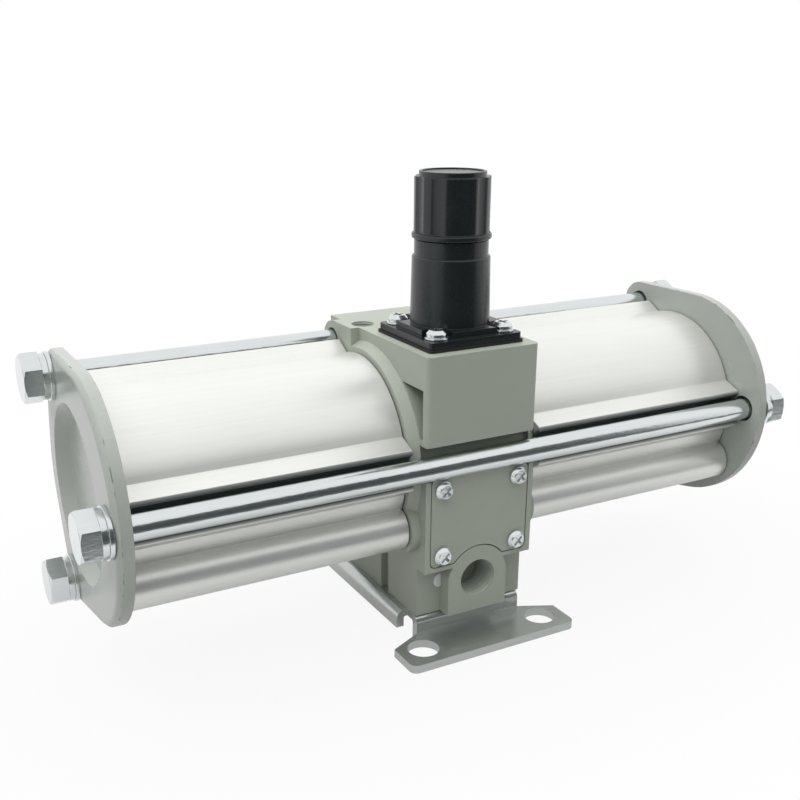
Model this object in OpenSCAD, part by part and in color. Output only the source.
// Air pressure booster: two opposed cylinders on a cast centre body, with a set-pressure governor.
// X runs along the cylinders, Y to the back and Z up. The origin is on the floor, at the middle of the feet.

/* [Cylinders] */
// Height of the cylinder axis above the floor
axis_z = 68.5; // [68:0.5:72]
// Bore of both cylinders
bore_d = 63; // [61:0.5:64]
// Wall of the cylinder tubes
tube_wall = 5; // [4.5:0.25:5.5]
// Length of each cylinder tube
tube_len = 103.5; // [95:0.5:140]
// Thickness of the gaskets at the tube ends
gasket_t = 0.5; // [0.3:0.1:1]
// Radius of the air-passage lobe along each tube
lobe_r = 8.3; // [7:0.1:9]
// Distance of the lobe's axis from the cylinder axis
lobe_circle_r = 38.5; // [37.5:0.5:40]
// Angle of the lobe below the horizontal, at the front
lobe_drop = 36; // [32:1:40]
// Diameter of the air passage in the lobe
passage_d = 9; // [6:0.5:10]

/* [Tie bolts] */
// Diameter of the tie-bolt shanks
rod_d = 9; // [8:0.25:9.5]
// Distance of the tie bolts from the cylinder axis
rod_circle_r = 44; // [43.5:0.5:46]
// Angle of the front tie bolt above the horizontal
rod_rise = 4.5; // [3:0.5:7]
// Width of the hexagon heads and nuts across their flats
hex_af = 16; // [14:0.5:17]
// Height of the hexagon heads and nuts
head_h = 6.5; // [6:0.1:9]
// Thickness of the spring washers
spring_washer_t = 2.2; // [1.5:0.1:3]
// Thickness of the plain washers
plain_washer_t = 1.5; // [1:0.1:2.5]
// Radial clearance round the tie bolts
rod_clear = 0.75; // [0.4:0.05:1]

/* [End covers] */
// Thickness of the end covers
cover_t = 5.5; // [5:0.25:8]
// Radius of the covers' outline round the cylinder axis, at the back
cover_r = 42; // [40:0.5:43]
// Distance of the middle of the covers' broad front from the cylinder axis
cover_front = 9.3; // [8:0.1:10]
// Radius of the ears round the tie bolts
ear_r = 9.5; // [9:0.25:11]
// Radius of the round pocket in the outer face
pocket_r = 32; // [30:0.25:33]
// Depth of the round pocket
pocket_depth = 5; // [3:0.25:5.5]
// Length of the spigot that centres the cover in the tube
cover_spigot = 3.5; // [3:0.25:6]

/* [Centre body] */
// Distance between the body's two end faces
body_w = 54; // [54:0.5:58]
// Thickness of the ring flanges at the body's ends
flange_t = 3.5; // [3:0.25:5]
// Radius of the ring flanges
flange_r = 40; // [39:0.5:42]
// Height of the underside of the body above the floor
body_z0 = 10.6; // [9:0.2:12]
// Half depth of the lower block, front to back
lower_y = 38; // [36.5:0.5:39]
// Wall of the body round the rear tie bolts
ear_wall = 2.7; // [2.2:0.1:4]
// Height of the underside of the governor box above the cylinder axis
box_gap = 11.4; // [11:0.1:13]

/* [Ports] */
// Diameter of the supply and outlet ports
port_d = 15; // [11:0.5:16]
// Height of the ports above the floor
port_z = 24; // [23:0.5:26]
// Depth of the ports
port_depth = 13; // [8:0.5:14]
// Radius of the port bosses
port_boss_r = 13; // [11:0.5:13.5]
// Diameter of the gauge ports
gauge_d = 9; // [8:0.25:9.5]
// Depth of the gauge ports
gauge_depth = 8; // [6:0.5:9]

/* [Foot bracket] */
// Length of the feet along the cylinders
foot_len = 73; // [70:1:90]
// Reach of each foot beyond the riser that carries it
foot_reach = 20.6; // [18.6:0.2:26]
// Distance of the foot holes from the edges of the feet
hole_edge = 10; // [9:0.25:11]
// Diameter of the foot holes
hole_d = 12; // [8:0.5:13]
// Thickness of the bracket's sheet
sheet_t = 3.2; // [2.5:0.1:4]

/* [Governor] */
// Distance of the governor's axis in front of the middle
governor_y = 19.5; // [18:0.5:20.5]
// Side of the square bonnet flange
bonnet_sq = 40; // [38:0.5:42]
// Radius of the bonnet at its foot
bonnet_r = 14.7; // [14.2:0.1:15.5]
// Height of the bonnet's shoulder above the body
bonnet_h = 30.5; // [28:0.5:36]
// Height of the knob
knob_h = 23.6; // [22:0.2:30]
// Radius of the ring at the foot of the knob
knob_r = 14.5; // [14:0.1:15.5]
// Number of flutes round the knob
flute_n = 10; // [8:1:16]
// Thread pitch of the adjusting screw
screw_pitch = 1.5; // [1:0.25:2]
// Turns of the knob from slack to full pressure
screw_turns = 5; // [3:1:5]

/* [Pistons] */
// Thickness of each piston
piston_t = 20; // [18:0.5:24]
// Diameter of the piston rod
piston_rod_d = 14; // [12:0.5:15]
// Travel of the switching spool
spool_travel = 6; // [4:0.5:6]

/* [Hidden] */
$fn = 72;
hull_fn = 40;

// Clearances
run_gap = 0.05;
press_gap = 0.04;
free_gap = 0.3;
over = 1;

// Colours
cast_paint = [0.66, 0.68, 0.64];
bright_alu = [0.86, 0.87, 0.86];
cast_alu = [0.72, 0.74, 0.72];
zinc = [0.78, 0.81, 0.84];
black_plastic = [0.09, 0.09, 0.1];
steel = [0.7, 0.7, 0.72];
brass = [0.78, 0.63, 0.33];
rubber = [0.12, 0.12, 0.12];

// Places along the cylinders
bore_r = bore_d / 2;
tube_r = bore_r + tube_wall;
body_x = body_w / 2;
core_x = body_x - flange_t;
tube_x0 = body_x + gasket_t;
tube_x1 = tube_x0 + tube_len;
cover_x0 = tube_x1 + gasket_t;
cover_x1 = cover_x0 + cover_t;
washer_x = cover_x1 + plain_washer_t;
head_x0 = washer_x + spring_washer_t;
head_x1 = head_x0 + head_h;

// Tie bolts and lobe, as angles seen along X with Y to the right
rod_r = rod_d / 2;
rod_hole_r = rod_r + rod_clear;
rod_dirs = [for (i = [0 : 2]) 180 - rod_rise - 120 * i];
lobe_dir = 180 + lobe_drop;
lobe_y = lobe_circle_r * cos(lobe_dir);
lobe_z = axis_z + lobe_circle_r * sin(lobe_dir);
passage_r = passage_d / 2;
slot_r = rod_r + 1.5;
lip_t = 1.5;
lip_w = slot_r + lip_t;
lip_u = rod_circle_r - 2.3;
lip_foot = 4;
gasket_inset = 0.8;
cover_front_r = rod_circle_r + ear_r - cover_front;
cover_front_dir = rod_dirs[0] - 8;
cover_edge = 1.6;
pocket_draft = 3.5;
groove_wall = 1.2;
washer_r = hex_af / 2 + 0.8;

// Centre body
core_r = 38;
valve_face_y = rod_circle_r;
body_ear_r = rod_hole_r + ear_wall;
box_rise = rod_circle_r * sin(rod_dirs[1]) + body_ear_r + 0.3;
box_top = axis_z + box_rise;
box_z0 = axis_z + box_gap;
port_to_face = 6.5;
lug_y0 = 8.5;
valve_z0 = port_z + port_to_face;
valve_z1 = axis_z - 1;
box_y1 = rod_circle_r * cos(rod_dirs[1]) + body_ear_r + 0.6;
box_corner_r = 1.8;
side_pocket_drop = 12.5;
side_pocket_z1 = box_top - side_pocket_drop;
side_pocket_x = 13;
wall = 3;
lobe_collar_r = lobe_r + 1.7;
groove_y = 13;
groove_w = 6;
groove_depth = 2.5;

// Valve cover plates
plate_t = 2;
plate_w = 42;
plate_margin = 2;
plate_z0 = valve_z0 + plate_margin;
plate_z1 = valve_z1 - 0.2;
plate_gap = 0.4;
plate_corner_r = 2;
plate_depth = plate_t + gasket_t;
plate_arc_r = port_boss_r + 0.7;
plate_screw_dx = 32.5;
plate_screw_edge = 4.3;
plate_screw_dz = plate_z1 - plate_z0 - 2 * plate_screw_edge;
plate_screw_z = (plate_z0 + plate_z1) / 2;
small_screw_r = 2;
small_head_r = 3.7;
small_head_h = 2.6;
small_screw_len = 10;

// Air passages and inner valves
duct_r = 3.5;
riser_duct_r = duct_r - 0.4;
gallery_r = duct_r + 0.4;
duct_y = 34;
check_y = 8;
check_drop = 21;
check_z = axis_z - check_drop;
check_r = 7;
check_depth = 16;
check_x0 = body_x - check_depth;
check_lift = 2;
spool_y = -22;
spool_drop = 7.5;
spool_z = axis_z - spool_drop;
spool_bore_r = 7;
spool_r = 4.5;
stem_r = 2;
sleeve_x = body_x - 7;
bush_r = piston_rod_d / 2 + 3;
bush_x = 19;
seal_w = 5;
plug_r = 2.75;
plug_x = -13.2;
plug_len = 5;

// Pistons
piston_r = bore_r - free_gap;
piston_rod_r = piston_rod_d / 2;
piston_in_limit = body_x + spool_travel + free_gap + 0.4;
piston_out_limit = cover_x0 - cover_spigot - 1.8;
half_stroke = (piston_out_limit - piston_in_limit - piston_t) / 2;
piston_x0 = piston_in_limit + half_stroke;
piston_nut_pocket = 9;
spigot_r = 5;

// Foot bracket
riser_w = 46.6;
riser_y = lower_y + 0.4;
foot_taper = 6.3;
foot_taper_y = riser_y + foot_taper;
foot_tip_y = riser_y + foot_reach;
hole_x = foot_len / 2 - hole_edge;
hole_y = foot_tip_y - hole_edge;
foot_corner_r = 3;
bracket_x = 28;
side_flange_y = 31;
bend_r = 4;
bracket_screw_x = 14;
bracket_screw_y = 12;
bracket_screw_r = 2.5;
bracket_head_r = 4.5;
bracket_head_h = 3;

// Governor, from the top of the body upwards
diaphragm_t = 1;
flange_z0 = box_top + diaphragm_t;
flange_h = 2.6;
step_z1 = flange_z0 + flange_h + 2.4;
shoulder_z = box_top + bonnet_h;
neck_r = bonnet_r - 1.2;
neck_h = 5.7;
knob_z0 = shoulder_z + neck_h + free_gap;
knob_z1 = knob_z0 + knob_h;
bonnet_screw_d = 28;
chamber_r = 11.5;
chamber_z1 = shoulder_z - 4;
adjust_r = 4;
adjust_collar_r = 7;
adjust_collar_t = 2.2;
hub_r = 8.5;
hub_h = 5;
hub_z1 = knob_z0 + hub_h;
grip_af = 10;
grip_r = knob_r - 0.7;
knob_ring_h = 2.2;
knob_rim_h = 1.8;
rim_r = knob_r - 2.4;
cap_r = rim_r - 1.2;
cap_depth = 1.2;
grip_len = 9;
grip_z1 = hub_z1 + grip_len;
seat_t = 3.5;
seat_r = chamber_r - free_gap;
seat_z0 = chamber_z1 - free_gap - adjust_collar_t - free_gap - seat_t;
key_w = 3;
key_out = 1.4;
pad_r = 9;
pad_t = 1.8;
governor_bore_r = 9;
governor_depth = 30;
governor_bore_z0 = box_top - governor_depth;
governor_lift = 1.5;
gov_seat_rise = 13;
gov_seat_h = 8;
gov_seat_z0 = governor_bore_z0 + gov_seat_rise;
gov_seat_z1 = gov_seat_z0 + gov_seat_h;
gov_guide_h = 5;
gov_head_t = 2.7;
gov_head_r = 6.5;
gov_tail_r = 2.5;
gov_coil_r = 4.6;
gov_wire_r = 0.5;
gov_throat_r = 4.5;
set_coil_r = 7.4;
set_wire_r = 0.85;

// Places where the gauge ports open in the top face
gauge_x = 19.2;
gauge_y = 13.4;

// A disc or bar along X, centred on a line at y, z
module x_bar(x0, x1, r, y = 0, z = axis_z) {
    translate([x0, y, z])
        rotate([0, 90, 0])
            cylinder(h = x1 - x0, r = r);
}

// A bar along Y
module y_bar(y0, y1, r, x, z) {
    translate([x, y0, z])
        rotate([-90, 0, 0])
            cylinder(h = y1 - y0, r = r);
}

// A bar along Z
module z_bar(z0, z1, r, x, y) {
    translate([x, y, z0])
        cylinder(h = z1 - z0, r = r);
}

// An outline seen along X, with Y to the right and Z up from the cylinder axis, drawn out from x0 to x1
module x_extrude(x0, x1) {
    translate([x0, 0, axis_z])
        rotate([90, 0, 90])
            linear_extrude(height = x1 - x0)
                children();
}

// A box between two corners
module block(low, high) {
    translate(low)
        cube(high - low);
}

// A rectangle with round corners
module round_rect(x0, y0, x1, y1, r) {
    translate([x0 + r, y0])
        square([x1 - x0 - 2 * r, y1 - y0]);
    translate([x0, y0 + r])
        square([x1 - x0, y1 - y0 - 2 * r]);
    for (x = [x0 + r, x1 - r])
        for (y = [y0 + r, y1 - r])
            translate([x, y])
                circle(r = r);
}

// A round ear of radius r at distance d, on a web that is a little narrower
module ear(r, d, dir) {
    rotate(dir) {
        translate([d, 0])
            circle(r = r);
        translate([0, -r + 0.3])
            square([d, 2 * r - 0.6]);
    }
}

// Places its children at each tie bolt, turned to point away from the cylinder axis
module at_rods() {
    for (dir = rod_dirs)
        rotate(dir)
            translate([rod_circle_r, 0])
                children();
}

// A round wire wound about Z from z0 to z1, its middle line on radius r
module coil(r, wire_r, z0, z1, turns, sides = 6, steps = 14) {
    n = turns * steps;
    rise = z1 - z0 - 2 * wire_r;
    rings = [
        for (i = [0 : n])
            for (j = [0 : sides - 1])
                let (a = 360 * i / steps, b = 360 * j / sides, q = r + wire_r * cos(b))
                    [q * cos(a), q * sin(a), z0 + wire_r + rise * i / n + wire_r * sin(b)]
    ];
    skin = [
        for (i = [0 : n - 1])
            for (j = [0 : sides - 1])
                let (k = (j + 1) % sides)
                    [i * sides + j, i * sides + k, (i + 1) * sides + k, (i + 1) * sides + j]
    ];
    first = [for (j = [sides - 1 : -1 : 0]) j];
    last = [for (j = [0 : sides - 1]) n * sides + j];
    polyhedron(points = rings, faces = concat([first], skin, [last]));
}

// Pan head with a cross recess on a plain shank, pointing down from z = 0
module pan_screw(shank_r, shank_len, head_r, head_h) {
    recess_w = head_r * 0.28;
    recess_l = head_r * 1.2;
    difference() {
        union() {
            translate([0, 0, -shank_len])
                cylinder(h = shank_len, r = shank_r);
            cylinder(h = head_h * 0.5, r = head_r);
            translate([0, 0, head_h * 0.5])
                cylinder(h = head_h * 0.5, r1 = head_r, r2 = head_r * 0.7);
        }
        for (a = [0, 90])
            rotate(a)
                translate([-recess_l / 2, -recess_w / 2, head_h * 0.45])
                    cube([recess_l, recess_w, head_h]);
    }
}

// Ring flange at the right end of the centre body, tapered as it leaves the mould
module ring_flange() {
    translate([core_x, 0, axis_z])
        rotate([0, 90, 0])
            cylinder(h = flange_t, r1 = flange_r + 0.6, r2 = flange_r - 1.6);
    x_extrude(core_x, body_x)
        flange_outline();
}

// What stands out from the ring flange: the ears of the two rear tie bolts and the collar of the lobe
module flange_outline() {
    top_rod = rod_circle_r * [cos(rod_dirs[1]), sin(rod_dirs[1])];
    ear(body_ear_r, rod_circle_r, rod_dirs[2]);
    rotate(lobe_dir)
        translate([lobe_circle_r, 0])
            circle(r = lobe_collar_r);
    translate([lug_y0, 0])
        square([top_rod[0] - lug_y0, box_rise]);
    translate([top_rod[0], 0])
        square([body_ear_r - 0.3, top_rod[1]]);
    translate(top_rod)
        circle(r = body_ear_r);
}

// Outline of the block between the ring flanges, with the valve faces and the rear of the top
module core_outline() {
    circle(r = core_r);
    translate([-lower_y, body_z0 - axis_z])
        square([2 * lower_y, valve_z0 + over - body_z0]);
    translate([-valve_face_y, valve_z0 - axis_z])
        square([2 * valve_face_y, valve_z1 - valve_z0]);
    translate([0, core_r - 20])
        square([box_y1, box_top - axis_z - core_r + 20]);
}

// Port bosses at the front and rear, seen from the front
module boss_outline() {
    translate([0, port_z])
        circle(r = port_boss_r);
    translate([-port_boss_r, body_z0])
        square([2 * port_boss_r, port_z - body_z0]);
}

// Recess that takes a valve cover plate, or the plate itself, seen from the front
module plate_outline(grow) {
    difference() {
        round_rect(
            -plate_w / 2 - grow, plate_z0 - grow, plate_w / 2 + grow, plate_z1 + grow, plate_corner_r + grow);
        translate([0, port_z])
            circle(r = plate_arc_r - grow);
    }
}

// Extrudes a front view, drawn in X and Z, from the front face at y0 back to y1
module front_extrude(y0, y1) {
    translate([0, y1, 0])
        rotate([90, 0, 0])
            linear_extrude(height = y1 - y0)
                children();
}

module at_plate_screws() {
    for (x = [-1, 1])
        for (z = [-1, 1])
            translate([x * plate_screw_dx / 2, 0, plate_screw_z + z * plate_screw_dz / 2])
                children();
}

// Holes and recesses of the front. The rear is their mirror image.
module valve_front_cuts() {
    front_extrude(-valve_face_y - over, -valve_face_y + plate_depth)
        plate_recess();
    at_plate_screws()
        y_bar(-valve_face_y, -valve_face_y + plate_depth + small_screw_len, small_screw_r + press_gap, 0, 0);
    y_bar(-valve_face_y - over, -valve_face_y + port_depth, port_d / 2, 0, port_z);
    z_bar(port_z, check_z + over, riser_duct_r, 0, -duct_y);
    y_bar(-valve_face_y, -check_y + over, duct_r, 0, check_z);
    x_bar(-check_x0 - over, check_x0 + over, gallery_r, -check_y, check_z);
    for (s = [0, 1])
        mirror([s, 0, 0])
            x_bar(check_x0, body_x + over, check_r, -check_y, check_z);
    y_bar(-lower_y - over, -lower_y + plug_len, plug_r + press_gap, plug_x, port_z - 0.7);
}

// The recess for a valve cover plate is open at its top
module plate_recess() {
    plate_outline(plate_gap);
    translate([-plate_w / 2 - plate_gap, plate_z1 - plate_corner_r])
        square([plate_w + 2 * plate_gap, plate_corner_r + over]);
}

// Hollow beside the governor box, between its front wall and the ring flange
module side_pocket() {
    difference() {
        translate([-valve_face_y + wall, box_z0 + 2 - axis_z])
            square([valve_face_y - wall - 8, side_pocket_z1 - box_z0 - 2]);
        circle(r = flange_r + 1.2);
    }
}

module centre_body() {
    color(cast_paint)
        difference() {
            union() {
                for (s = [0, 1])
                    mirror([s, 0, 0])
                        ring_flange();
                x_extrude(-core_x, core_x)
                    core_outline();
                front_extrude(-valve_face_y, valve_face_y)
                    boss_outline();
                translate([0, 0, box_z0])
                    linear_extrude(height = box_top - box_z0)
                        round_rect(-core_x, -valve_face_y, core_x, box_corner_r, box_corner_r);
            }
            for (s = [0, 1])
                mirror([0, s, 0])
                    valve_front_cuts();
            for (s = [0, 1])
                mirror([s, 0, 0]) {
                    x_extrude(core_x - side_pocket_x, core_x + over)
                        side_pocket();
                    block([core_x - groove_depth, -groove_y - groove_w / 2, body_z0 - over],
                        [core_x + over, -groove_y + groove_w / 2, valve_z0 - 3]);
                }
            x_extrude(-body_x - over, body_x + over)
                at_rods()
                    circle(r = rod_hole_r);
            x_bar(-body_x - over, body_x + over, bush_r + press_gap);
            x_bar(-body_x - over, body_x + over, spool_bore_r, spool_y, spool_z);
            drive_ducts();
            governor_cuts();
            for (s = [-1, 1])
                z_bar(box_top - gauge_depth, box_top + over, gauge_d / 2, s * gauge_x, gauge_y);
            for (x = [-1, 1])
                for (y = [-1, 1])
                    z_bar(body_z0 - over, body_z0 + small_screw_len, bracket_screw_r + press_gap,
                        x * bracket_screw_x, y * bracket_screw_y);
        }
}

// Drive air from the spool to the lobe of each tube, and from the governor to the spool
module drive_ducts() {
    for (s = [0, 1])
        mirror([s, 0, 0]) {
            x_bar(core_x - 8, body_x + over, passage_r, lobe_y, lobe_z);
            translate([core_x - 4, lobe_y, lobe_z])
                rotate([-atan2(spool_y - lobe_y, spool_z - lobe_z), 0, 0])
                    cylinder(h = norm([spool_y - lobe_y, spool_z - lobe_z]), r = duct_r - 0.5);
        }
    z_bar(spool_z, governor_bore_z0 + over, duct_r - 0.5, 0, -governor_y - 2);
}

module governor_cuts() {
    z_bar(governor_bore_z0, box_top + over, governor_bore_r, 0, -governor_y);
    z_bar(box_top - 4, box_top + over, chamber_r, 0, -governor_y);
    for (x = [-1, 1])
        for (y = [-1, 1])
            z_bar(box_top - small_screw_len, box_top + over, small_screw_r + press_gap,
                x * bonnet_screw_d / 2, -governor_y + y * bonnet_screw_d / 2);
}

// Two lips that stand out from the tube beside a tie bolt, with sloping backs
module rail() {
    a = asin((lip_w + lip_foot) / tube_r);
    root = (tube_r - 0.7) * [cos(a), sin(a)];
    polygon([
        root,
        [lip_u, lip_w],
        [lip_u, -lip_w],
        [root[0], -root[1]]
    ]);
}

module right_tube() {
    color(bright_alu)
        difference() {
            union() {
                x_bar(tube_x0, tube_x1, tube_r);
                x_bar(tube_x0, tube_x1, lobe_r, lobe_y, lobe_z);
                for (dir = rod_dirs)
                    x_extrude(tube_x0, tube_x1)
                        rotate(dir)
                            rail();
            }
            x_bar(tube_x0 - over, tube_x1 + over, bore_r);
            x_bar(tube_x0 - over, tube_x1 + over, passage_r, lobe_y, lobe_z);
            for (dir = rod_dirs)
                x_extrude(tube_x0 - over, tube_x1 + over)
                    rotate(dir)
                        rod_channel();
        }
}

// Channel that a tie bolt lies in, open outwards
module rod_channel() {
    translate([rod_circle_r, 0])
        circle(r = slot_r);
    translate([rod_circle_r, -slot_r])
        square([ear_r + over, 2 * slot_r]);
}

module left_tube() {
    mirror([1, 0, 0])
        right_tube();
}

module tube_gaskets() {
    color(rubber)
        for (s = [0, 1])
            mirror([s, 0, 0])
                for (x = [body_x, tube_x1])
                    x_extrude(x, x + gasket_t)
                        difference() {
                            union() {
                                circle(r = tube_r - gasket_inset);
                                rotate(lobe_dir)
                                    translate([lobe_circle_r, 0])
                                        circle(r = lobe_r - gasket_inset);
                            }
                            circle(r = bore_r);
                            rotate(lobe_dir)
                                translate([lobe_circle_r, 0])
                                    circle(r = passage_r);
                        }
}

// One disc of the cover's outline, its outer edge sloping off to the rim
module cover_disc(r, sides = hull_fn) {
    cylinder(h = cover_t - cover_edge, r = r, $fn = sides);
    cylinder(h = cover_t - cover_edge * 0.35, r = r - cover_edge * 0.7, $fn = sides);
    cylinder(h = cover_t, r = r - cover_edge * 1.6, $fn = sides);
}

module cover_plate() {
    hull() {
        cover_disc(cover_r, 2 * hull_fn);
        rotate(cover_front_dir)
            translate([cover_front, 0])
                cover_disc(cover_front_r, 2 * hull_fn);
        for (i = [1, 2])
            rotate(rod_dirs[i])
                translate([rod_circle_r, 0])
                    cover_disc(ear_r);
    }
}

module right_cover() {
    groove_r = bore_r - groove_wall;
    color(cast_alu)
        difference() {
            union() {
                translate([cover_x0, 0, axis_z])
                    rotate([90, 0, 90])
                        cover_plate();
                x_bar(cover_x0 - cover_spigot, cover_x0 + 0.3, bore_r - run_gap);
            }
            translate([cover_x1 - pocket_depth, 0, axis_z])
                rotate([0, 90, 0])
                    cylinder(h = pocket_depth, r1 = pocket_r - pocket_draft, r2 = pocket_r);
            x_extrude(cover_x0 - over, cover_x1 + over)
                at_rods()
                    circle(r = rod_hole_r);
            x_extrude(cover_x0 - cover_spigot - over, cover_x0 + cover_t / 4)
                rotate(lobe_dir) {
                    translate([groove_r, -passage_r])
                        square([lobe_circle_r - groove_r, passage_d]);
                    translate([lobe_circle_r, 0])
                        circle(r = passage_r);
                }
        }
}

module left_cover() {
    mirror([1, 0, 0])
        right_cover();
}

// Hexagon with its outer corners turned off
module hex_head(x0, x1, bore) {
    corner_r = hex_af / sqrt(3);
    chamfer = corner_r - hex_af / 2;
    translate([x0, 0, 0])
        rotate([0, 90, 0])
            difference() {
                intersection() {
                    cylinder(h = x1 - x0, r = corner_r, $fn = 6);
                    union() {
                        cylinder(h = x1 - x0 - chamfer * 0.6, r = corner_r + over);
                        translate([0, 0, x1 - x0 - chamfer * 0.6])
                            cylinder(h = chamfer * 0.6, r1 = corner_r, r2 = corner_r - chamfer);
                    }
                }
                if (bore > 0)
                    translate([0, 0, -over])
                        cylinder(h = x1 - x0 + 2 * over, r = bore);
            }
}

// Places its children at each tie bolt without turning them
module at_rod_lines() {
    for (dir = rod_dirs)
        translate([0, rod_circle_r * cos(dir), axis_z + rod_circle_r * sin(dir)])
            children();
}

module tie_bolts() {
    color(zinc)
        at_rod_lines() {
            mirror([1, 0, 0])
                hex_head(head_x0, head_x1, 0);
            x_bar(-head_x0 - over, head_x1 - 0.6, rod_r, 0, 0);
        }
}

module tie_nuts() {
    color(zinc)
        at_rod_lines()
            hex_head(head_x0, head_x1, rod_r + press_gap);
}

module spring_washers() {
    color(zinc)
        for (s = [0, 1])
            mirror([s, 0, 0])
                at_rod_lines()
                    difference() {
                        x_bar(washer_x, head_x0, washer_r - 0.6, 0, 0);
                        x_bar(washer_x - over, head_x0 + over, rod_hole_r, 0, 0);
                        translate([washer_x - over, 0, -0.6])
                            cube([spring_washer_t + 2 * over, washer_r + over, 1.2]);
                    }
}

module plain_washers() {
    color(zinc)
        for (s = [0, 1])
            mirror([s, 0, 0])
                at_rod_lines()
                    difference() {
                        x_bar(cover_x1, washer_x, washer_r, 0, 0);
                        x_bar(cover_x1 - over, washer_x + over, rod_hole_r, 0, 0);
                    }
}

// Front foot plate, seen from above
module foot_outline() {
    tip_x = foot_len / 2;
    tip_y = foot_tip_y;
    polygon([
        [-riser_w / 2, -riser_y + sheet_t],
        [-riser_w / 2, -riser_y],
        [-tip_x, -foot_taper_y],
        [-tip_x, -tip_y + foot_corner_r],
        [-tip_x + foot_corner_r, -tip_y],
        [tip_x - foot_corner_r, -tip_y],
        [tip_x, -tip_y + foot_corner_r],
        [tip_x, -foot_taper_y],
        [riser_w / 2, -riser_y],
        [riser_w / 2, -riser_y + sheet_t]
    ]);
    for (s = [-1, 1])
        translate([s * (tip_x - foot_corner_r), -tip_y + foot_corner_r])
            circle(r = foot_corner_r);
}

// Quarter of a bent sheet along Y, its outer radius bend_r, turning from up-facing to side-facing
module bend(len) {
    rotate([90, 0, 0])
        translate([0, 0, -len / 2])
            linear_extrude(height = len)
                difference() {
                    intersection() {
                        circle(r = bend_r);
                        square(bend_r);
                    }
                    circle(r = bend_r - sheet_t);
                }
}

module foot_bracket() {
    top_z = body_z0 - sheet_t;
    color(zinc)
        difference() {
            union() {
                block([-bracket_x + bend_r, -side_flange_y, top_z], [bracket_x - bend_r, side_flange_y, body_z0]);
                block([-riser_w / 2, -riser_y + bend_r, top_z], [riser_w / 2, riser_y - bend_r, body_z0]);
                for (s = [0, 1])
                    mirror([s, 0, 0]) {
                        translate([bracket_x - bend_r, 0, body_z0 - bend_r])
                            bend(2 * side_flange_y);
                        block([bracket_x - sheet_t, -side_flange_y, sheet_t],
                            [bracket_x, side_flange_y, body_z0 - bend_r]);
                    }
                for (s = [0, 1])
                    mirror([0, s, 0]) {
                        translate([0, -riser_y + bend_r, body_z0 - bend_r])
                            rotate(-90)
                                bend(riser_w);
                        block([-riser_w / 2, -riser_y, 0], [riser_w / 2, -riser_y + sheet_t, body_z0 - bend_r]);
                        linear_extrude(height = sheet_t)
                            foot_outline();
                    }
            }
            for (x = [-1, 1])
                for (y = [-1, 1]) {
                    z_bar(-over, sheet_t + over, hole_d / 2, x * hole_x, y * hole_y);
                    z_bar(top_z - over, body_z0 + over, bracket_screw_r + free_gap,
                        x * bracket_screw_x, y * bracket_screw_y);
                }
        }
}

module bracket_screws() {
    color(zinc)
        for (x = [-1, 1])
            for (y = [-1, 1])
                translate([x * bracket_screw_x, y * bracket_screw_y, body_z0 - sheet_t])
                    rotate([180, 0, 0])
                        pan_screw(bracket_screw_r, sheet_t + small_screw_len - 1, bracket_head_r, bracket_head_h);
}

module front_valve_cover() {
    color(cast_paint)
        difference() {
            front_extrude(-valve_face_y, -valve_face_y + plate_t)
                plate_outline(0);
            at_plate_screws()
                y_bar(-valve_face_y - over, -valve_face_y + plate_t + over, small_screw_r + free_gap, 0, 0);
        }
}

module rear_valve_cover() {
    mirror([0, 1, 0])
        front_valve_cover();
}

module valve_cover_gaskets() {
    color(rubber)
        for (s = [0, 1])
            mirror([0, s, 0])
                difference() {
                    front_extrude(-valve_face_y + plate_t, -valve_face_y + plate_depth)
                        plate_outline(0);
                    at_plate_screws()
                        y_bar(-valve_face_y, -duct_y, small_screw_r + free_gap, 0, 0);
                }
}

module valve_cover_screws() {
    color(zinc)
        for (s = [0, 1])
            mirror([0, s, 0])
                at_plate_screws()
                    translate([0, -valve_face_y, 0])
                        rotate([90, 0, 0])
                            rotate(45)
                                pan_screw(small_screw_r, plate_depth + small_screw_len - 1,
                                    small_head_r, small_head_h);
}

module passage_plugs() {
    color(bright_alu)
        for (s = [0, 1])
            mirror([0, s, 0])
                y_bar(-lower_y, -lower_y + plug_len - 0.2, plug_r, plug_x, port_z - 0.7);
}

module at_governor(z) {
    translate([0, -governor_y, z])
        children();
}

module at_bonnet_screws() {
    for (x = [-1, 1])
        for (y = [-1, 1])
            translate([x * bonnet_screw_d / 2, y * bonnet_screw_d / 2, 0])
                children();
}

module diaphragm() {
    half = bonnet_sq / 2;
    color(rubber)
        at_governor(box_top)
            difference() {
                linear_extrude(height = diaphragm_t)
                    round_rect(-half, -half, half, half, box_corner_r);
                at_bonnet_screws()
                    translate([0, 0, -over])
                        cylinder(h = diaphragm_t + 2 * over, r = small_screw_r + free_gap);
            }
}

module diaphragm_plate() {
    color(steel)
        at_governor(flange_z0)
            cylinder(h = pad_t, r = pad_r);
}

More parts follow.
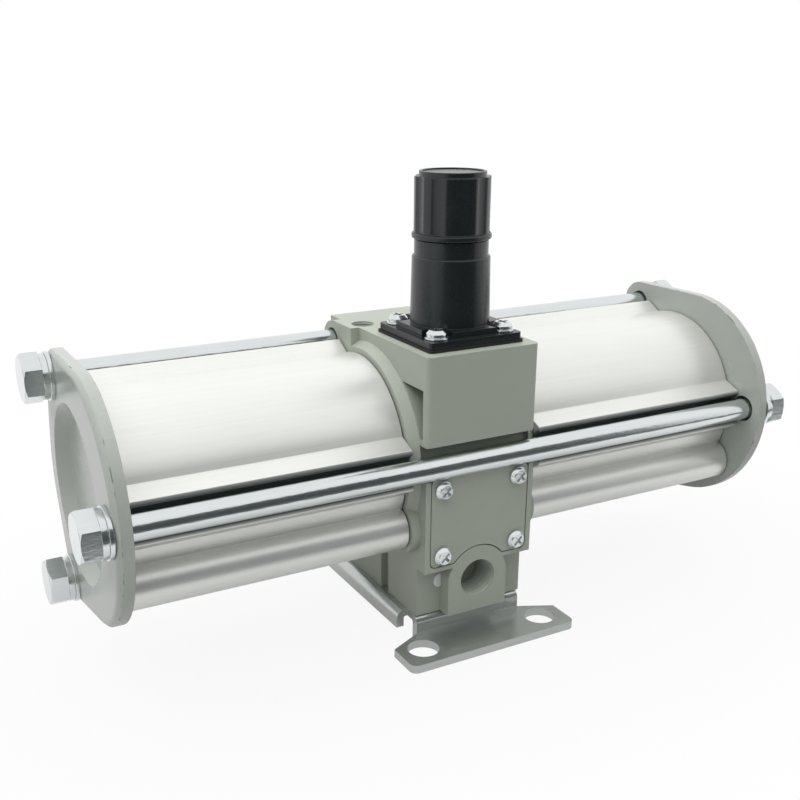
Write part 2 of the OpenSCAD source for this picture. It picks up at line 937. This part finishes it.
module governor_bonnet() {
    half = bonnet_sq / 2 - 0.6;
    step = half - 2;
    color(black_plastic)
        at_governor(0)
            difference() {
                union() {
                    translate([0, 0, flange_z0])
                        linear_extrude(height = flange_h)
                            round_rect(-half, -half, half, half, box_corner_r);
                    translate([0, 0, flange_z0])
                        linear_extrude(height = step_z1 - flange_z0)
                            difference() {
                                square(2 * step, center = true);
                                at_bonnet_screws()
                                    circle(r = small_head_r + 2);
                                for (x = [-1, 1])
                                    for (y = [-1, 1])
                                        translate([x * step, y * step])
                                            square(2 * (step - bonnet_screw_d / 2) + 6, center = true);
                            }
                    rotate_extrude()
                        polygon([
                            [0, flange_z0],
                            [bonnet_r, flange_z0],
                            [bonnet_r, step_z1 + 2],
                            [bonnet_r - 0.4, shoulder_z - 0.5],
                            [bonnet_r - 0.9, shoulder_z],
                            [neck_r, shoulder_z],
                            [neck_r, shoulder_z + neck_h],
                            [hub_r, shoulder_z + neck_h],
                            [hub_r, hub_z1],
                            [0, hub_z1]
                        ]);
                }
                translate([0, 0, flange_z0 - over])
                    cylinder(h = chamber_z1 - flange_z0 + over, r = chamber_r);
                for (s = [-1, 1])
                    translate([s * chamber_r - 2, -key_w / 2, flange_z0 - over])
                        cube([4, key_w, chamber_z1 - flange_z0 + over]);
                translate([0, 0, chamber_z1 - over])
                    cylinder(h = hub_z1 - chamber_z1 + 2 * over, r = adjust_r + run_gap);
                at_bonnet_screws()
                    translate([0, 0, flange_z0 - over])
                        cylinder(h = flange_h + 2 * over, r = small_screw_r + free_gap);
            }
}

module bonnet_washers() {
    color(zinc)
        at_governor(flange_z0 + flange_h)
            at_bonnet_screws()
                difference() {
                    cylinder(h = 0.8, r = small_head_r + 0.6);
                    translate([0, 0, -over])
                        cylinder(h = 0.8 + 2 * over, r = small_screw_r + free_gap);
                }
}

module bonnet_screws() {
    color(zinc)
        at_governor(flange_z0 + flange_h + 0.8)
            at_bonnet_screws()
                pan_screw(small_screw_r, flange_h + diaphragm_t + small_screw_len - 1, small_head_r, small_head_h);
}

module governor_spring() {
    color(steel)
        at_governor(0)
            coil(set_coil_r, set_wire_r, flange_z0 + pad_t, seat_z0, 4);
}

module spring_seat() {
    color(brass)
        at_governor(seat_z0)
            difference() {
                union() {
                    cylinder(h = seat_t, r = seat_r);
                    for (s = [-1, 1])
                        translate([s * (chamber_r + 0.2) - key_out, -key_w / 2 + free_gap, 0])
                            cube([2 * key_out, key_w - 2 * free_gap, seat_t]);
                }
                translate([0, 0, -over])
                    cylinder(h = seat_t + 2 * over, r = adjust_r + free_gap);
            }
}

module adjusting_screw() {
    tip_z = seat_z0 - screw_pitch * screw_turns;
    color(steel)
        at_governor(0) {
            translate([0, 0, tip_z])
                cylinder(h = hub_z1 + free_gap - tip_z, r = adjust_r);
            translate([0, 0, chamber_z1 - free_gap - adjust_collar_t])
                cylinder(h = adjust_collar_t, r = adjust_collar_r);
            translate([0, 0, hub_z1 + free_gap])
                cylinder(h = grip_z1 - hub_z1 - free_gap, r = grip_af / sqrt(3), $fn = 6);
        }
}

// Outline of the knob's grip, with broad shallow flutes
module grip_outline() {
    flute_r = 9;
    flute_cut = 0.7;
    difference() {
        circle(r = grip_r);
        for (i = [0 : flute_n - 1])
            rotate(360 * i / flute_n)
                translate([grip_r + flute_r - flute_cut, 0])
                    circle(r = flute_r);
    }
}

module knob() {
    socket_r = (grip_af + 2 * free_gap) / sqrt(3);
    ring_z1 = knob_z0 + knob_ring_h;
    rim_z0 = knob_z1 - knob_rim_h;
    color(black_plastic)
        at_governor(0)
            difference() {
                union() {
                    rotate_extrude()
                        polygon([
                            [0, knob_z0],
                            [knob_r - 0.4, knob_z0],
                            [knob_r, knob_z0 + 0.4],
                            [knob_r, ring_z1 - 0.5],
                            [knob_r - 0.5, ring_z1],
                            [0, ring_z1]
                        ]);
                    translate([0, 0, ring_z1 - over])
                        linear_extrude(height = rim_z0 - ring_z1 + over)
                            grip_outline();
                    translate([0, 0, rim_z0 - over])
                        cylinder(h = knob_rim_h + over, r = rim_r);
                }
                translate([0, 0, knob_z0 - over])
                    cylinder(h = hub_z1 + free_gap - knob_z0 + over, r = hub_r + free_gap);
                translate([0, 0, hub_z1 - over])
                    cylinder(h = grip_z1 + free_gap - hub_z1 + over, r = socket_r, $fn = 6);
                translate([0, 0, knob_z1 - cap_depth])
                    cylinder(h = cap_depth + over, r = cap_r);
            }
}

module knob_cap() {
    color(black_plastic)
        at_governor(knob_z1 - cap_depth)
            cylinder(h = cap_depth * 0.6, r = cap_r - press_gap);
}

module governor_valve() {
    head_z1 = gov_seat_z0 - free_gap;
    color(brass)
        at_governor(0) {
            translate([0, 0, head_z1 - gov_head_t])
                cylinder(h = gov_head_t, r = gov_head_r);
            translate([0, 0, head_z1 - over])
                cylinder(h = box_top - free_gap - head_z1 + over, r = stem_r);
            translate([0, 0, governor_bore_z0 + governor_lift + 0.5])
                cylinder(h = head_z1 - gov_head_t - governor_bore_z0 - governor_lift - 0.5 + over, r = gov_tail_r);
        }
}

module governor_valve_spring() {
    color(steel)
        at_governor(0)
            coil(gov_coil_r, gov_wire_r, governor_bore_z0 + gov_guide_h, gov_seat_z0 - free_gap - gov_head_t, 3);
}

module governor_ring(z0, z1, bore) {
    at_governor(z0)
        difference() {
            cylinder(h = z1 - z0, r = governor_bore_r - press_gap);
            translate([0, 0, -over])
                cylinder(h = z1 - z0 + 2 * over, r = bore);
        }
}

module governor_seat() {
    color(brass)
        governor_ring(gov_seat_z0, gov_seat_z1, gov_throat_r);
}

module governor_guide() {
    color(brass)
        governor_ring(governor_bore_z0, governor_bore_z0 + gov_guide_h, gov_tail_r + run_gap);
}

module piston_rod() {
    spigot_x = piston_x0 + piston_t - 1;
    color(steel) {
        x_bar(-piston_x0, piston_x0, piston_rod_r);
        x_bar(-spigot_x, spigot_x, spigot_r);
    }
}

module right_piston() {
    x1 = piston_x0 + piston_t;
    color(bright_alu)
        difference() {
            x_bar(piston_x0, x1, piston_r);
            x_bar(piston_x0 - over, x1 + over, spigot_r + press_gap);
            x_bar(x1 - piston_nut_pocket, x1 + over, hex_af / sqrt(3) + 3);
            ring_cut(piston_x0 + 3, piston_x0 + 3 + seal_w, piston_r - 4);
            ring_cut(x1 - 9, x1 - 3, piston_r - 2);
        }
}

// A groove turned into the piston
module ring_cut(x0, x1, r) {
    difference() {
        x_bar(x0, x1, piston_r + over);
        x_bar(x0 - over, x1 + over, r);
    }
}

module left_piston() {
    mirror([1, 0, 0])
        right_piston();
}

// A ring in a groove of each piston, running in the bore
module piston_ring(x0, x1, r) {
    for (s = [0, 1])
        mirror([s, 0, 0])
            difference() {
                x_bar(x0 + press_gap, x1 - press_gap, bore_r - run_gap);
                x_bar(x0 - over, x1 + over, r + press_gap);
            }
}

module piston_seals() {
    color(rubber)
        piston_ring(piston_x0 + 3, piston_x0 + 3 + seal_w, piston_r - 4);
}

module wear_rings() {
    x1 = piston_x0 + piston_t;
    color(black_plastic)
        piston_ring(x1 - 9, x1 - 3, piston_r - 2);
}

module piston_nuts() {
    x1 = piston_x0 + piston_t;
    color(zinc)
        for (s = [0, 1])
            mirror([s, 0, 0])
                translate([0, 0, axis_z])
                    hex_head(x1 - piston_nut_pocket, x1 - 1.2, spigot_r + press_gap);
}

module rod_bush() {
    color(brass)
        difference() {
            x_bar(-bush_x, bush_x, bush_r);
            x_bar(-bush_x - over, bush_x + over, piston_rod_r + run_gap);
        }
}

module rod_seals() {
    color(rubber)
        for (s = [0, 1])
            mirror([s, 0, 0])
                difference() {
                    x_bar(bush_x, bush_x + seal_w, bush_r);
                    x_bar(bush_x - over, bush_x + seal_w + over, piston_rod_r + run_gap);
                }
}

// Spool, at its left end of travel
spool_x0 = -sleeve_x + 2;
spool_x1 = sleeve_x - 2 - spool_travel;
spool_ring_w = 1.8;
spool_ring_r = spool_r - 1;
spool_ring_xs = [for (i = [0 : 3]) spool_x0 + 2 + i * (spool_x1 - spool_x0 - 4 - spool_ring_w) / 3];

module spool() {
    color(steel) {
        difference() {
            x_bar(spool_x0, spool_x1, spool_r, spool_y, spool_z);
            for (x = spool_ring_xs)
                difference() {
                    x_bar(x, x + spool_ring_w, spool_r + over, spool_y, spool_z);
                    x_bar(x - over, x + spool_ring_w + over, spool_ring_r, spool_y, spool_z);
                }
            for (i = [0, 2])
                difference() {
                    x_bar(spool_ring_xs[i] + spool_ring_w + 1, spool_ring_xs[i + 1] - 1, spool_r + over,
                        spool_y, spool_z);
                    x_bar(spool_x0, spool_x1, stem_r + 0.6, spool_y, spool_z);
                }
        }
        x_bar(-body_x - spool_travel - free_gap, body_x + free_gap, stem_r, spool_y, spool_z);
    }
}

module spool_rings() {
    color(rubber)
        for (x = spool_ring_xs)
            difference() {
                x_bar(x + press_gap, x + spool_ring_w - press_gap, spool_r, spool_y, spool_z);
                x_bar(x - over, x + spool_ring_w + over, spool_ring_r + press_gap, spool_y, spool_z);
            }
}

module spool_sleeve() {
    color(bright_alu)
        difference() {
            x_bar(-sleeve_x, sleeve_x, spool_bore_r - press_gap, spool_y, spool_z);
            x_bar(-sleeve_x - over, sleeve_x + over, spool_r + run_gap, spool_y, spool_z);
        }
}

module spool_end_bushes() {
    color(brass)
        for (s = [0, 1])
            mirror([s, 0, 0])
                difference() {
                    x_bar(sleeve_x, body_x, spool_bore_r - press_gap, spool_y, spool_z);
                    x_bar(sleeve_x - over, body_x + over, stem_r + run_gap, spool_y, spool_z);
                }
}

// Check valves. Each is drawn along Z, with its seat at z = 0 and its outlet upwards.
check_seat_t = 3;
check_disc_t = 2;
check_retainer_t = 2.5;
check_disc_r = 5.6;
check_stem_r = 1.6;
check_coil_r = 2.6;
check_wire_r = 0.35;
check_retainer_z = check_depth - 1 - check_retainer_t;

// The inlet valves open outwards into the cylinder and the outlet valves open inwards
module at_check(side, outlet) {
    flip = outlet ? [body_x, -1] : [check_x0, 1];
    mirror([side < 0 ? 1 : 0, 0, 0])
        translate([flip[0], outlet ? check_y : -check_y, check_z])
            rotate([0, flip[1] * 90, 0])
                children();
}

module at_checks() {
    for (side = [-1, 1])
        for (outlet = [false, true])
            at_check(side, outlet)
                children();
}

module check_seats() {
    color(brass)
        at_checks()
            difference() {
                cylinder(h = check_seat_t, r = check_r - press_gap);
                translate([0, 0, -over])
                    cylinder(h = check_seat_t + 2 * over, r = duct_r + 0.4);
            }
}

module check_retainers() {
    color(steel)
        at_checks()
            translate([0, 0, check_retainer_z])
                difference() {
                    cylinder(h = check_retainer_t, r = check_r - press_gap);
                    translate([0, 0, -over])
                        cylinder(h = check_retainer_t + 2 * over, r = check_stem_r + run_gap);
                    for (a = [0, 120, 240])
                        rotate(a)
                            translate([4.2, 0, -over])
                                cylinder(h = check_retainer_t + 2 * over, r = 1.5);
                }
}

module poppet(side, outlet) {
    disc_z = check_seat_t + free_gap;
    color(black_plastic)
        at_check(side, outlet) {
            translate([0, 0, disc_z])
                cylinder(h = check_disc_t, r = check_disc_r);
            translate([0, 0, disc_z])
                cylinder(h = check_retainer_z + 0.5 - disc_z, r = check_stem_r);
        }
}

module poppet_spring(side, outlet) {
    color(steel)
        at_check(side, outlet)
            coil(check_coil_r, check_wire_r, check_seat_t + free_gap + check_disc_t,
                check_retainer_z - check_lift - free_gap, 4, 5, 12);
}

module left_inlet_poppet() {
    poppet(-1, false);
}

module right_inlet_poppet() {
    poppet(1, false);
}

module left_outlet_poppet() {
    poppet(-1, true);
}

module right_outlet_poppet() {
    poppet(1, true);
}

module left_inlet_spring() {
    poppet_spring(-1, false);
}

module right_inlet_spring() {
    poppet_spring(1, false);
}

module left_outlet_spring() {
    poppet_spring(-1, true);
}

module right_outlet_spring() {
    poppet_spring(1, true);
}

centre_body();
left_tube();
right_tube();
left_cover();
right_cover();
tube_gaskets();
tie_bolts();
tie_nuts();
spring_washers();
plain_washers();
foot_bracket();
bracket_screws();
front_valve_cover();
rear_valve_cover();
valve_cover_gaskets();
valve_cover_screws();
passage_plugs();
governor_bonnet();
bonnet_screws();
bonnet_washers();
diaphragm();
diaphragm_plate();
governor_spring();
spring_seat();
adjusting_screw();
knob();
knob_cap();
governor_valve();
governor_valve_spring();
governor_seat();
governor_guide();
piston_rod();
left_piston();
right_piston();
piston_seals();
wear_rings();
piston_nuts();
rod_bush();
rod_seals();
spool();
spool_rings();
spool_sleeve();
spool_end_bushes();
left_inlet_poppet();
right_inlet_poppet();
left_outlet_poppet();
right_outlet_poppet();
left_inlet_spring();
right_inlet_spring();
left_outlet_spring();
right_outlet_spring();
check_seats();
check_retainers();
